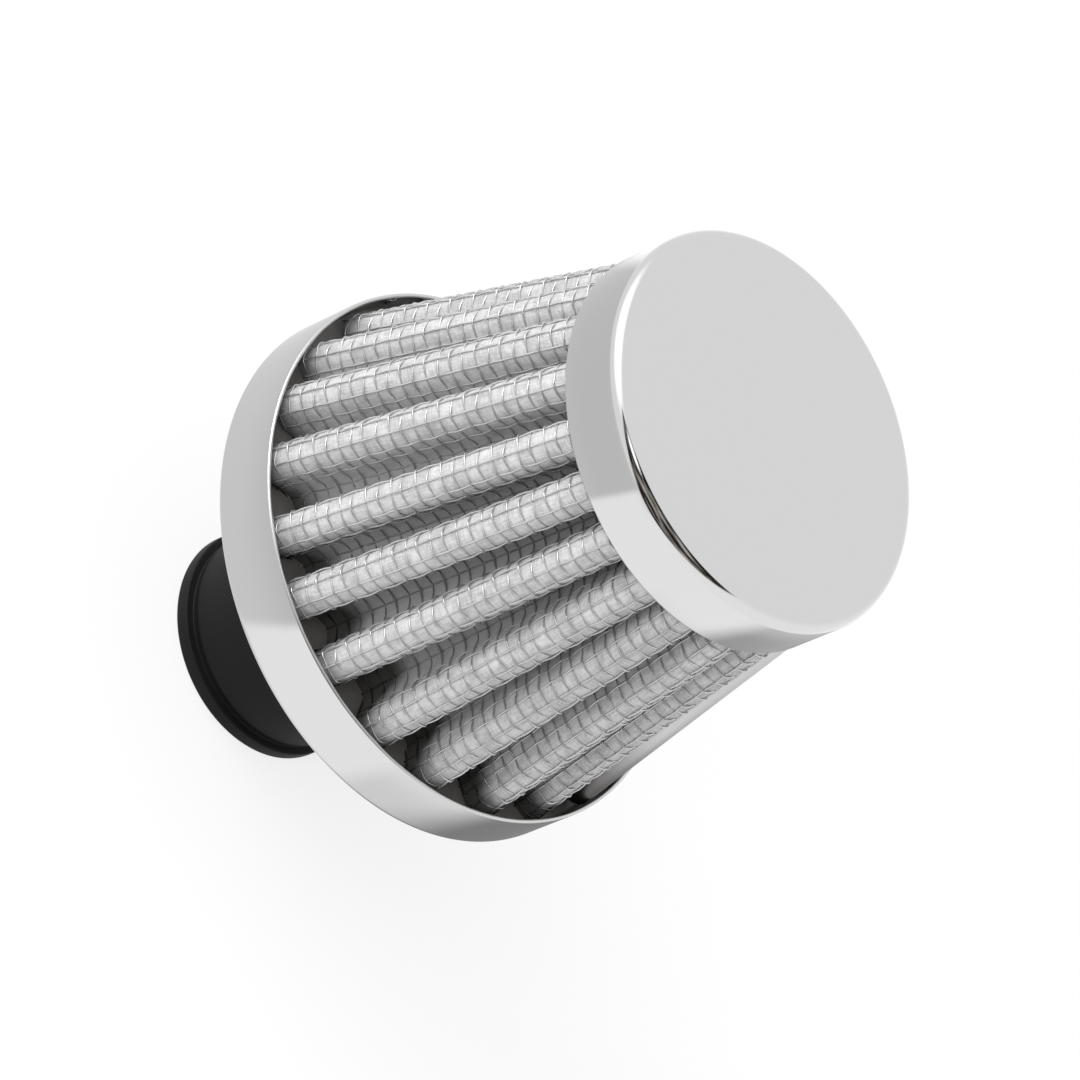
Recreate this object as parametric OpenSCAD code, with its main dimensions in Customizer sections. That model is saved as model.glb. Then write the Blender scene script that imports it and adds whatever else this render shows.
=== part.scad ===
// Clamp-on crankcase breather filter.
// A tapered ring of pleats, gauze folded between two wire screens, is cast into a chromed
// cap at its narrow end and into a chromed cup at its wide end. A rubber neck with a raised
// lip leaves the cup and is pushed over the vent pipe.
// Z runs along the axis from the mouth of the neck (Z = 0) to the face of the cap.

/* [Sheet metal] */
// Wall of the pressed cap and cup
sheet_t = 0.4; // [0.3:0.05:0.6]

/* [End cap] */
// Outer diameter of the cap
cap_d = 37.5; // [36:0.5:42]
// Height of the cap over its skirt
cap_h = 6.8; // [5.5:0.1:9]
// Outer radius of the cap's pressed edge
cap_edge_r = 1.2; // [0.8:0.1:2]
// Depth of the cast seal's surface inside the skirt
cap_seal_drop = 1; // [0.5:0.1:1.5]

/* [Base cup] */
// Outer diameter of the cup
cup_d = 50.8; // [48:0.2:56]
// Height of the cup over its rim
cup_h = 6.95; // [5.6:0.05:9]
// Outer radius of the cup's pressed edge
cup_edge_r = 0.8; // [0.7:0.1:2]
// Depth of the cast seal's surface below the rim
base_seal_drop = 2.6; // [2:0.1:3]

/* [Pleated pack] */
// Exposed length of the pack, from the cup's rim to the cap's skirt
pack_gap = 30.75; // [26:0.05:45]
// Folds round the pack, with the one under the seam clip
pleats = 22; // [17:1:23]
// Depth of a pleat, from crest to valley
pleat_depth = 5.2; // [5:0.1:5.8]
// Width of a pleat over its screen
crest_w = 4; // [3.6:0.1:4.1]
// Thickness of the gauze
media_t = 0.4; // [0.25:0.05:0.45]
// Depth that the gauze is cast into each seal
media_embed = 1.5; // [1:0.1:1.6]
// Space left between neighbouring folds inside the pack
fold_gap = 0.1; // [0.05:0.01:0.12]
// Space between the crests and the cup's wall, at the seal
base_inset = 0.1; // [0.05:0.05:0.8]
// Space between the crests and the cap's wall, at the seal
cap_inset = 0.35; // [0.35:0.05:0.8]

/* [Wire screens] */
// Diameter of the wire
wire_d = 0.18; // [0.14:0.01:0.22]
// Wires that run round the outer screen
outer_hoops = 4; // [3:1:6]
// Wires that run round the inner screen
inner_hoops = 1; // [1:1:3]
// Play between a screen and the gauze
screen_play = 0.08; // [0.08:0.01:0.1]

/* [Seam clip] */
// Place of the seam round the axis, in degrees from +X
seam_angle = 4; // [0:1:359]
// Wall of the crimped strip
clip_t = 0.3; // [0.2:0.05:0.4]
// Depth of the clip's legs
clip_depth = 4; // [3:0.1:4.4]
// Height of the clip's foot over the base seal
clip_lift = 1; // [0.5:0.1:3]
// Height of the clip's back over the neighbouring crests, at the cup's rim
clip_rise_base = 0.4; // [0.1:0.05:0.45]
// Height of the clip's back over the neighbouring crests, at the cap's skirt
clip_rise_cap = 0.1; // [0:0.05:0.1]

/* [Neck] */
// Bore that takes the vent pipe
bore_d = 16; // [12:0.5:17]
// Outside of the neck
neck_d = 20.9; // [19:0.1:22]
// Length of the neck below the cup
neck_len = 21.5; // [16:0.05:32]
// Outside of the lip round the mouth
lip_d = 22.06; // [21.5:0.02:24]
// Thickness of the lip
lip_t = 1.5; // [1:0.1:3]
// Width of the relief behind the lip
relief_w = 0.6; // [0.3:0.1:1]
// Depth of the relief behind the lip
relief_depth = 0.25; // [0.1:0.05:0.5]
// Chamfer of the bore at the mouth
mouth_chamfer = 0.5; // [0.2:0.1:0.8]
// Diameter of the flange that holds the neck in the cup
flange_d = 27; // [24:0.5:28]
// Thickness of that flange
flange_t = 1.4; // [1:0.1:2]
// Diameter of the opening through the base seal
seal_bore_d = 18; // [17:0.5:20]

/* [Hidden] */
$fn = 96;

// Levels along the axis
cup_floor_z = neck_len + sheet_t;
rim_z = neck_len + cup_h;
skirt_z = rim_z + pack_gap;
top_z = skirt_z + cap_h;
base_seal_z = rim_z - base_seal_drop;
cap_seal_z = skirt_z + cap_seal_drop;
media_z = [base_seal_z - media_embed, cap_seal_z + media_embed];

// Layers of the folded strip, counted inwards from the outside of the outer screen
screen_t = 2 * wire_d;
media_out = screen_t + screen_play;
media_in = media_out + media_t;
strip_t = media_in + screen_play + screen_t;
// How far a straight wire lies inside the section of the round wires that it crosses
wire_lap = wire_d / 12;

// The crests lie on a cone that passes just inside the two metal walls at the seals
base_crest_r = cup_d / 2 - sheet_t - base_inset;
cap_crest_r = cap_d / 2 - sheet_t - cap_inset;
crest_r = crest_w / 2;
half_pitch = 180 / pleats;

// Half of an octagon that stands round a circle has its corners at this share of the radius
corner = tan(22.5);

// Seam: the two ends of the strip stand side by side in the clip
seam_half = strip_t + fold_gap / 2;
clip_half = seam_half + clip_t;

function crest_at(z) =
    base_crest_r + (cap_crest_r - base_crest_r) * (z - base_seal_z) / (cap_seal_z - base_seal_z);

// Radius of a valley's bend, as wide as the folds inside the pack leave room for
function valley_r(z) =
    ((crest_at(z) - pleat_depth) * sin(half_pitch) - strip_t - fold_gap / 2)
    / (1 - sin(half_pitch));

// A point of a fold, given across the fold and out from the axis, with the fold at angle a
function place(p, a, z) =
    [p[1] * cos(a) - p[0] * sin(a), p[1] * sin(a) + p[0] * cos(a), z];

// The bend over a crest and the bend in a valley, for the layer at a depth inside the strip
function crest_bend(a, z, depth) =
    let (r = crest_r - depth, mid = crest_at(z) - crest_r)
    [for (p = [[-r, corner * r], [-corner * r, r], [corner * r, r], [r, corner * r]])
        place([p[0], mid + p[1]], a, z)];
function valley_bend(a, z, depth) =
    let (r = valley_r(z) + depth, mid = crest_at(z) - pleat_depth + valley_r(z))
    [for (p = [[-r, -corner * r], [0, -sqrt(2) * r], [r, -corner * r]])
        place([p[0], mid + p[1]], a, z)];

// One end of the strip, inside the clip; side is 1 where the strip starts and -1 where it ends
function strip_end(side, z, depth) =
    place([side * (seam_half - depth), clip_mid(z)], seam_angle, z);

// Centre of the round back of the clip
function clip_mid(z) =
    crest_at(z) + clip_rise_base + (clip_rise_cap - clip_rise_base) * (z - rim_z) / pack_gap - clip_half;

// The whole strip round the pack, from one side of the seam to the other
function fold_line(z, depth) = concat(
    [strip_end(1, z, depth)],
    [for (i = [0:pleats - 1], p = concat(
        valley_bend(seam_angle + (2 * i + 1) * half_pitch, z, depth),
        i < pleats - 1 ? crest_bend(seam_angle + (2 * i + 2) * half_pitch, z, depth) : []))
        p],
    [strip_end(-1, z, depth)]);

// Section of the clip at a level: straight legs and a round back
function clip_line(z, half, drop) =
    let (foot = crest_at(z) - clip_depth, mid = clip_mid(z) - drop)
    concat(
        [place([-half, foot], seam_angle, z)],
        [for (b = [180:-22.5:0]) place([half * cos(b), mid + half * sin(b)], seam_angle, z)],
        [place([half, foot], seam_angle, z)]);

// Solid between an outer and an inner line, each given at two or more levels. All lines have
// the same number of points and run counter-clockwise round the axis.
module ribbon(outer, inner) {
    n = len(outer[0]);
    levels = len(outer);
    side = n * levels;
    function at(layer, k, i) = layer * side + k * n + i;
    walls = [for (k = [0:levels - 2], i = [0:n - 2], f = [
        [at(0, k, i), at(0, k + 1, i), at(0, k, i + 1)],
        [at(0, k, i + 1), at(0, k + 1, i), at(0, k + 1, i + 1)],
        [at(1, k, i), at(1, k, i + 1), at(1, k + 1, i)],
        [at(1, k, i + 1), at(1, k + 1, i + 1), at(1, k + 1, i)]]) f];
    ends = [for (i = [0:n - 2], f = [
        [at(0, 0, i), at(0, 0, i + 1), at(1, 0, i)],
        [at(0, 0, i + 1), at(1, 0, i + 1), at(1, 0, i)],
        [at(0, levels - 1, i), at(1, levels - 1, i), at(0, levels - 1, i + 1)],
        [at(0, levels - 1, i + 1), at(1, levels - 1, i), at(1, levels - 1, i + 1)]]) f];
    edges = [for (k = [0:levels - 2], f = [
        [at(0, k, 0), at(1, k, 0), at(0, k + 1, 0)],
        [at(1, k, 0), at(1, k + 1, 0), at(0, k + 1, 0)],
        [at(0, k, n - 1), at(0, k + 1, n - 1), at(1, k, n - 1)],
        [at(1, k, n - 1), at(0, k + 1, n - 1), at(1, k + 1, n - 1)]]) f];
    polyhedron(
        points = concat([for (line = outer, p = line) p], [for (line = inner, p = line) p]),
        faces = concat(walls, ends, edges),
        convexity = 12);
}

// Disc with one rounded edge at its far end
module rounded_disc(r, h, edge_r) {
    rotate_extrude() {
        square([r - edge_r, h]);
        square([r, h - edge_r]);
        translate([r - edge_r, h - edge_r]) intersection() {
            circle(edge_r);
            square(edge_r);
        }
    }
}

// Pressed cup with a round cut edge, open at Z = 0
module pressed_cup(d, h, edge_r) {
    difference() {
        rounded_disc(d / 2, h, edge_r);
        translate([0, 0, -sheet_t]) rounded_disc(d / 2 - sheet_t, h, edge_r - sheet_t);
        rotate_extrude() translate([d / 2 - sheet_t, -sheet_t]) square([2 * sheet_t, 1.5 * sheet_t]);
    }
    rotate_extrude() translate([(d - sheet_t) / 2, sheet_t / 2]) circle(d = sheet_t);
}

// The gauze alone, which is also the shape of its seat in the two seals
module gauze() {
    ribbon([for (z = media_z) fold_line(z, media_out)], [for (z = media_z) fold_line(z, media_in)]);
}

// Height of the wire number k of those that run round a screen
function hoop_z(k, count) = base_seal_z + (cap_seal_z - base_seal_z) * (k - 0.5) / count;

// One wire round the pack, folded with the strip, as deep as the screen is thick
module hoop(z, out, in) {
    levels = [z - wire_d / 2, z + wire_d / 2];
    ribbon([for (k = levels) fold_line(k, out)], [for (k = levels) fold_line(k, in)]);
}

// One straight wire between the seals, through a point given at each end
module long_wire(low, high) {
    hull() for (end = [low, high - [0, 0, wire_d / 4]])
        translate(end) rotate(atan2(end[1], end[0])) translate([-wire_d / 2, -wire_d / 2, 0])
            cube([wire_d, wire_d, wire_d / 4]);
}

module end_cap() {
    color("gainsboro") translate([0, 0, skirt_z]) pressed_cup(cap_d, cap_h, cap_edge_r);
}

module cap_potting() {
    color("dimgray") difference() {
        translate([0, 0, cap_seal_z])
            rounded_disc(cap_d / 2 - sheet_t, top_z - sheet_t - cap_seal_z, cap_edge_r - sheet_t);
        gauze();
    }
}

module pleated_media() {
    color("whitesmoke") gauze();
}

module outer_screen() {
    function wire(z) = [0, crest_at(z) - screen_t + wire_lap + wire_d / 2];
    color("silver") {
        for (k = [1:outer_hoops])
            hoop(hoop_z(k, outer_hoops), 0, screen_t);
        for (i = [1:pleats - 1], a = seam_angle + 2 * i * half_pitch)
            long_wire(place(wire(base_seal_z), a, base_seal_z), place(wire(cap_seal_z), a, cap_seal_z));
    }
}

module inner_screen() {
    fold_depth = media_in + screen_play;
    function wire(z) = [0, crest_at(z) - pleat_depth + valley_r(z)
        - sqrt(2) * (valley_r(z) + fold_depth) - wire_lap - wire_d / 2];
    color("silver") {
        for (k = [1:inner_hoops])
            hoop(hoop_z(k, inner_hoops), fold_depth, strip_t);
        for (i = [0:pleats - 1], a = seam_angle + (2 * i + 1) * half_pitch)
            long_wire(place(wire(base_seal_z), a, base_seal_z), place(wire(cap_seal_z), a, cap_seal_z));
    }
}

module seam_clip() {
    z0 = base_seal_z + clip_lift;
    // The foot of the clip is rounded over its back
    nose = [for (b = [0:22.5:90]) [z0 + clip_half * (1 - sin(b)) / 2, clip_half * (1 - cos(b)) / 2]];
    stations = concat([for (k = [4:-1:0]) nose[k]], [[cap_seal_z, 0]]);
    color("darkgray")
        ribbon([for (s = stations) clip_line(s[0], clip_half, s[1])],
               [for (s = stations) clip_line(s[0], seam_half, s[1])]);
}

module base_cup() {
    color("gainsboro") difference() {
        translate([0, 0, rim_z]) mirror([0, 0, 1]) pressed_cup(cup_d, cup_h, cup_edge_r);
        translate([0, 0, neck_len - 1]) cylinder(h = sheet_t + 2, d = neck_d);
    }
}

module base_potting() {
    color("#262626") difference() {
        translate([0, 0, base_seal_z]) mirror([0, 0, 1])
            rounded_disc(cup_d / 2 - sheet_t, base_seal_z - cup_floor_z, cup_edge_r - sheet_t);
        translate([0, 0, cup_floor_z - 1]) cylinder(h = flange_t + 1, d = flange_d);
        translate([0, 0, cup_floor_z]) cylinder(h = cup_h, d = seal_bore_d);
        gauze();
    }
}

module neck() {
    bore_r = bore_d / 2;
    body_r = neck_d / 2;
    lip_r = lip_d / 2;
    flange_top = cup_floor_z + flange_t;
    color("#1c1c1c") rotate_extrude() polygon([
        [bore_r + mouth_chamfer, 0],
        [lip_r - lip_t / 4, 0],
        [lip_r, lip_t / 4],
        [lip_r, lip_t],
        [body_r - relief_depth, lip_t],
        [body_r - relief_depth, lip_t + relief_w],
        [body_r, lip_t + relief_w + relief_depth],
        [body_r, cup_floor_z],
        [flange_d / 2, cup_floor_z],
        [flange_d / 2, flange_top],
        [bore_r, flange_top],
        [bore_r, mouth_chamfer]]);
}

end_cap();
cap_potting();
pleated_media();
outer_screen();
inner_screen();
seam_clip();
base_cup();
base_potting();
neck();
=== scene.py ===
"""Looks of a clamp-on crankcase breather filter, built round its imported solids.

The filter stands on the mouth of its rubber neck, with its axis along Z. Pressed chromed
cups close both ends of a tapered ring of pleats: light grey gauze folded between two
plain-weave wire screens, with a crimped clip over the seam. Lengths are in metres.
"""

import logging
import math
from dataclasses import dataclass
from enum import Enum

import bmesh
import bpy
import numpy as np
from mathutils import Matrix, Vector


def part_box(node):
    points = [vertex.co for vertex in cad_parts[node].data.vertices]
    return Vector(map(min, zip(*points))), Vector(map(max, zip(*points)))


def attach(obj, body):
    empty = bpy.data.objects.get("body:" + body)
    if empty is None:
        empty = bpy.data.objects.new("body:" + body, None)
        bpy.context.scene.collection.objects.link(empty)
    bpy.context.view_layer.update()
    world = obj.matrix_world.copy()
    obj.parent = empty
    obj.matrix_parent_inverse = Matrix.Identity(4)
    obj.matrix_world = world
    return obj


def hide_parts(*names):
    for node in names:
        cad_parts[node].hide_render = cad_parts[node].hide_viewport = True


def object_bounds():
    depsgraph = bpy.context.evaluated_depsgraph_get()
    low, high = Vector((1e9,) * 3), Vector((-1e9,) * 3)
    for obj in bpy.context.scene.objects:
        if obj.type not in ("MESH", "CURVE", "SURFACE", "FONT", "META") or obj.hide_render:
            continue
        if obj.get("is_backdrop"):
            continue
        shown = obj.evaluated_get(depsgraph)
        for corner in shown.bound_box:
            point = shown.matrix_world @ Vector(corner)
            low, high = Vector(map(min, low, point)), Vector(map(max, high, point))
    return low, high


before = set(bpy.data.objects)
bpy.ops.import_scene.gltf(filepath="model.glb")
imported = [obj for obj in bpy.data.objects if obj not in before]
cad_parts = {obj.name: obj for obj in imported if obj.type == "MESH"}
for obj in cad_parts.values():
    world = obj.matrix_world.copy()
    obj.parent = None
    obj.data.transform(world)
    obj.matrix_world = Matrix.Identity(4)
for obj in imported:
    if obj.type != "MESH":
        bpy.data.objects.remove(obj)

LOG = logging.getLogger("breather_filter")
MM = 0.001
ROOT = "root"
# Name of the attribute that says how deep in a fold a point lies;
# the finishes paint shade into the folds by it.
FOLD = "fold"
# Thickness of the cups' sheet steel.
SHEET = 0.4 * MM

Material = bpy.types.Material
Mesh = bpy.types.Mesh
Piece = bpy.types.Object
Socket = bpy.types.NodeSocket
Tree = bpy.types.NodeTree
Triple = tuple[float, float, float]
Colour = tuple[float, float, float, float]


class Slot(Enum):
    """The record's material slots."""

    CHROME = "chrome"
    RUBBER = "rubber"
    POTTING = "potting"
    GAUZE = "gauze"
    WIRE = "screen_wire"
    CLIP = "clip"


class Run(Enum):
    """The two directions of the wires in a woven screen."""

    ROUND = "round"
    LONG = "long"


class Layer(Enum):
    """What is laid in layers: grey levels or colours."""

    LEVEL = "FLOAT"
    COLOUR = "RGBA"


def linear(code: str) -> Colour:
    """Turns an sRGB hex colour into linear light, by the sRGB curve.

    Args:
        code: six hex digits, such as "C8C8C6".

    Returns:
        Red, green, blue and an alpha of one.
    """
    levels = np.array([int(code[i:i + 2], 16) / 255 for i in (0, 2, 4)])
    light = np.where(levels <= 0.04045, levels / 12.92, ((levels + 0.055) / 1.055) ** 2.4)
    return (*(float(x) for x in light), 1.0)


def add_node(tree: Tree, kind: str, inputs: dict | None = None, **settings: str) -> bpy.types.NodeOutputs:
    """Adds a node, sets it up and links what feeds it.

    Args:
        tree: the node tree that gets the node.
        kind: the node's type, without the words ShaderNode.
        inputs: input name or number to a value, or to an output socket that feeds it.
        settings: the node's own properties.

    Returns:
        The new node's outputs.
    """
    node = tree.nodes.new("ShaderNode" + kind)
    for name, value in settings.items():
        setattr(node, name, value)
    for name, value in (inputs or {}).items():
        if isinstance(value, Socket):
            tree.links.new(value, node.inputs[name])
        else:
            node.inputs[name].default_value = value
    return node.outputs


def layered(tree: Tree, layer: Layer, base: Socket | Colour | float, *tops: tuple) -> Socket:
    """Lays colours or levels over one another.

    Args:
        tree: the node tree.
        layer: what is laid.
        base: the lowest layer.
        tops: a share and what covers the layers below it by that share, lowest first.

    Returns:
        A socket with what shows.
    """
    for share, top in tops:
        laid = add_node(tree, "Mix", {"Factor": share, "A": base, "B": top}, data_type=layer.value)
        base = laid["Result"]
    return base


def all_of(tree: Tree, *shares: Socket) -> Socket:
    """Multiplies shares, so that all of them have to hold.

    Args:
        tree: the node tree.
        shares: sockets from zero to one.

    Returns:
        A socket with their product.
    """
    product = shares[0]
    for share in shares[1:]:
        product = add_node(tree, "Math", {0: product, 1: share}, operation="MULTIPLY")[0]
    return product


def cleared(owner: Material | bpy.types.World) -> Tree:
    """Empties the node tree of a material or a world.

    Args:
        owner: what the tree belongs to.

    Returns:
        The tree.
    """
    owner.use_nodes = True
    owner.node_tree.nodes.clear()
    return owner.node_tree


def put_in_scene(name: str, data: bpy.types.ID) -> Piece:
    """Makes an object of a mesh, a lamp or a camera and puts it in the scene.

    Args:
        name: the object's name.
        data: what the object shows.

    Returns:
        The object, at the origin.
    """
    made = bpy.data.objects.new(name, data)
    bpy.context.scene.collection.objects.link(made)
    return made


@dataclass(frozen=True)
class Finish:
    """What all finishes share: a Principled shader with marks of one size in its bump.

    The marks are noise of the size mark, and depth is how high they stand. The gloss is
    the shader's level of plain, uncoloured reflection.
    """

    name: str = ""
    color: str = "FFFFFF"
    metal: float = 0.0
    roughness: float = 0.5
    gloss: float = 0.5
    sheen: float = 0.0
    sheen_roughness: float = 0.6
    mark: float = 1.0 * MM
    detail: float = 2.0
    strength: float = 1.0
    depth: float = 0.02 * MM

    def marks(self, tree: Tree, place: Socket) -> Socket:
        """Returns the height of the marks, in a tree and at object coordinates."""
        noise = {"Vector": place, "Scale": 1 / self.mark, "Detail": self.detail}
        return add_node(tree, "TexNoise", noise)["Fac"]

    def tint(self, tree: Tree, place: Socket, marks: Socket) -> Socket | Colour:
        """Returns the colour, in a tree, at object coordinates and over the marks."""
        return linear(self.color)

    def build(self) -> Material:
        """Makes the material.

        Returns:
            The material, named for the finish.
        """
        material = bpy.data.materials.new(self.name)
        tree = cleared(material)
        place = add_node(tree, "TexCoord")["Object"]
        marks = self.marks(tree, place)
        bump = add_node(tree, "Bump", {"Height": marks, "Strength": self.strength,
                                       "Distance": self.depth})
        surface = add_node(tree, "BsdfPrincipled", {
            "Base Color": self.tint(tree, place, marks), "Metallic": self.metal,
            "Roughness": self.roughness, "Specular IOR Level": self.gloss, "Sheen Weight": self.sheen,
            "Sheen Roughness": self.sheen_roughness, "Normal": bump[0]})
        add_node(tree, "OutputMaterial", {"Surface": surface[0]})
        return material


@dataclass(frozen=True)
class Chrome(Finish):
    """Decorative chrome on pressed sheet steel.

    Plated and buffed, so it is a mirror, a little wavy where the sheet was drawn.
    """

    name: str = "chrome_plate"
    color: str = "D3D3D3"
    metal: float = 1.0
    roughness: float = 0.08
    mark: float = 6.0 * MM


@dataclass(frozen=True)
class CutEdge(Finish):
    """The sheet's sheared edge under the same plating.

    It isn't buffed, so it is a satin line where the walls are mirrors.
    """

    name: str = "chrome_cut_edge"
    color: str = "CFCFCE"
    metal: float = 1.0
    roughness: float = 0.34
    mark: float = 0.6 * MM
    strength: float = 0.5


@dataclass(frozen=True)
class FootDarkening:
    """Darkening at the foot of what stands in a seal: the compound that climbed up it before it set, and
    painted shade.

    The painted shade reaches further up the narrow folds than their crests, and furthest on
    the side of +X, away from the softbox, where the seam is.
    """

    start: float = -0.3 * MM
    end: float = 3.0 * MM
    uneven: float = 1.2 * MM
    patch: float = 1.1 * MM
    # How far painted shade climbs in the folds.
    shade_climb: float = 2.0 * MM
    # How much higher the painted shade reaches for each step towards +X.
    lean: float = 0.15
    outside: float = 0.3

    def clean(self, tree: Tree, place: Socket) -> Socket:
        """Tells how clear a place is of the compound and of painted shade.

        Its height is taken less (fold + outside)(climb + lean x), the reach of painted shade, and less an
        uneven patch.

        Args:
            tree: the material's node tree.
            place: object coordinates.

        Returns:
            A socket that goes from zero in the compound and the painted shade to one above their reach.
        """
        parts = add_node(tree, "SeparateXYZ", {0: place})
        patches = add_node(tree, "TexNoise", {"Vector": place, "Scale": 1 / self.patch})["Fac"]
        fold = add_node(tree, "Attribute", attribute_name=FOLD)["Fac"]
        fold = add_node(tree, "Math", {0: fold, 1: self.outside}, operation="ADD")[0]
        height = parts["Z"]
        # Painted shade: the reach grows in the folds and towards +X.
        reach = add_node(tree, "Math", {0: parts["X"], 1: -self.lean, 2: -self.shade_climb},
                         operation="MULTIPLY_ADD")[0]
        for share, drop in ((fold, reach), (patches, -self.uneven)):
            height = add_node(tree, "Math", {0: share, 1: drop, 2: height}, operation="MULTIPLY_ADD")[0]
        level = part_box("base_potting")[1].z - self.uneven / 2
        return add_node(tree, "MapRange", {"Value": height, "From Min": level + self.start,
                                           "From Max": level + self.end},
                        interpolation_type="SMOOTHSTEP")[0]


@dataclass(frozen=True)
class Gauze(Finish):
    """Pale cotton filter gauze in several layers, dull and soft.

    Its threads run along and across the strip and show as a fine, faint cross grain. Painted
    shade darkens the folds by their depth, and the foot is darker, partly where the sealing
    compound soaks into it and partly by painted shade.
    """

    name: str = "filter_gauze"
    color: str = "C2C2C3"
    shade: str = "9E9E9F"
    # Colour of the painted shade in the folds.
    deep: str = "949495"
    # Colour of the foot: the soaking compound, and painted shade.
    soaked_and_shaded: str = "3E3D3B"
    roughness: float = 0.95
    gloss: float = 0.1
    sheen: float = 0.1
    thread: float = 0.16 * MM
    run: float = 1.3 * MM
    cloud: float = 1.8 * MM
    darkest: float = 1.2
    lightest: float = 1.75
    strength: float = 0.6
    depth: float = 0.05 * MM
    compound_and_shade: FootDarkening = FootDarkening()

    def marks(self, tree: Tree, place: Socket) -> Socket:
        """Lays noise drawn out along the threads of both ways of the cloth.

        Args:
            tree: the material's node tree.
            place: object coordinates; not used.

        Returns:
            The sum of the two.
        """
        cloth = add_node(tree, "TexCoord")["UV"]
        grains = []
        for size in ((self.thread, self.run, 1.0), (self.run, self.thread, 1.0)):
            laid = add_node(tree, "VectorMath", {0: cloth, 1: tuple(1 / x for x in size)},
                            operation="MULTIPLY")[0]
            noise = {"Vector": laid, "Scale": 1.0, "Detail": self.detail}
            grains.append(add_node(tree, "TexNoise", noise)["Fac"])
        return add_node(tree, "Math", {0: grains[0], 1: grains[1]}, operation="ADD")[0]

    def tint(self, tree: Tree, place: Socket, marks: Socket) -> Socket:
        """Shades the threads, clouds them, paints shade into the folds and darkens the foot.

        Args:
            tree: the material's node tree.
            place: object coordinates.
            marks: height of the threads.

        Returns:
            The colour.
        """
        cloud = add_node(tree, "TexNoise", {"Vector": place, "Scale": 1 / self.cloud})["Fac"]
        both = add_node(tree, "Math", {0: marks, 1: cloud}, operation="ADD")[0]
        light = add_node(tree, "MapRange", {"Value": both, "From Min": self.darkest,
                                            "From Max": self.lightest})[0]
        fold = add_node(tree, "Attribute", attribute_name=FOLD)["Fac"]
        # Painted shade: the fold share lays the deep colour into the folds.
        cotton = layered(tree, Layer.COLOUR, linear(self.shade), (light, linear(self.color)),
                         (fold, linear(self.deep)))
        # Darker at the foot: the compound soaking in, and painted shade.
        return layered(tree, Layer.COLOUR, linear(self.soaked_and_shaded), (self.compound_and_shade.clean(tree, place), cotton))


@dataclass(frozen=True)
class DrawnWire(Finish):
    """Drawn wire of the woven screen, with the dull skin that drawing leaves.

    It glints where it bends past the softbox, and painted shade darkens it in the folds.
    Its foot is darker, partly where the compound coats it in the seal and partly by painted
    shade. Its drawing marks are too fine to show, so they are drawn half a millimetre long.
    """

    color: str = "C2C2C2"
    # Colour of the painted shade in the folds.
    dull: str = "929292"
    # Colour of the foot: the compound's coat, and painted shade.
    coated_and_shaded: str = "4A4947"
    roughness: float = 0.2
    mark: float = 0.5 * MM
    strength: float = 0.3
    depth: float = 0.01 * MM
    compound_and_shade: FootDarkening = FootDarkening(0.0, 1.4 * MM)

    def tint(self, tree: Tree, place: Socket, marks: Socket) -> Socket:
        """Paints shade into the folds and darkens the foot with compound and painted shade.

        Args:
            tree: the material's node tree.
            place: object coordinates.
            marks: height of the marks, which leave the colour alone.

        Returns:
            The colour.
        """
        fold = add_node(tree, "Attribute", attribute_name=FOLD)["Fac"]
        # Painted shade: the fold share darkens the wire in the folds.
        bare = layered(tree, Layer.COLOUR, linear(self.color), (fold, linear(self.dull)))
        # Darker at the foot: the compound's coat, and painted shade.
        return layered(tree, Layer.COLOUR, linear(self.coated_and_shaded), (self.compound_and_shade.clean(tree, place), bare))


@dataclass(frozen=True)
class CrimpedStrip(Finish):
    """Mill-finish aluminium strip, satin from the rolling, with painted shade towards its foot."""

    name: str = "crimped_strip"
    color: str = "C8C8C8"
    foot_shade: str = "62605F"
    metal: float = 1.0
    roughness: float = 0.38
    mark: float = 1.2 * MM
    detail: float = 3.0
    strength: float = 0.4
    foot_shade_reach: FootDarkening = FootDarkening(1 * MM, 14 * MM)

    def tint(self, tree: Tree, place: Socket, marks: Socket) -> Socket:
        """Paints shade over the foot, in a tree and at object coordinates, whatever the marks."""
        # Painted shade: darker towards the foot.
        clean = self.foot_shade_reach.clean(tree, place)
        return layered(tree, Layer.COLOUR, linear(self.foot_shade), (clean, linear(self.color)))


@dataclass(frozen=True)
class MouldedRubber(Finish):
    """Black moulded rubber with the grain of its mould, drawn coarse enough to show."""

    name: str = "moulded_rubber"
    color: str = "101011"
    worn: str = "191817"
    cloud: float = 6.0 * MM
    roughness: float = 0.55
    gloss: float = 0.14
    mark: float = 0.35 * MM
    detail: float = 4.0
    strength: float = 0.35
    depth: float = 0.03 * MM

    def tint(self, tree: Tree, place: Socket, marks: Socket) -> Socket:
        """Clouds the black with a worn shade, in a tree and at object coordinates."""
        cloud = add_node(tree, "TexNoise", {"Vector": place, "Scale": 1 / self.cloud})["Fac"]
        return layered(tree, Layer.COLOUR, linear(self.color), (cloud, linear(self.worn)))


@dataclass(frozen=True)
class CastSeal(Finish):
    """Dark polyurethane sealing compound.

    It was poured and left to set, so its skin is smooth, a little glossy and uneven.
    """

    name: str = "cast_seal"
    color: str = "6C6A68"
    roughness: float = 0.36
    mark: float = 2.5 * MM
    strength: float = 0.8
    depth: float = 0.3 * MM


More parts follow.
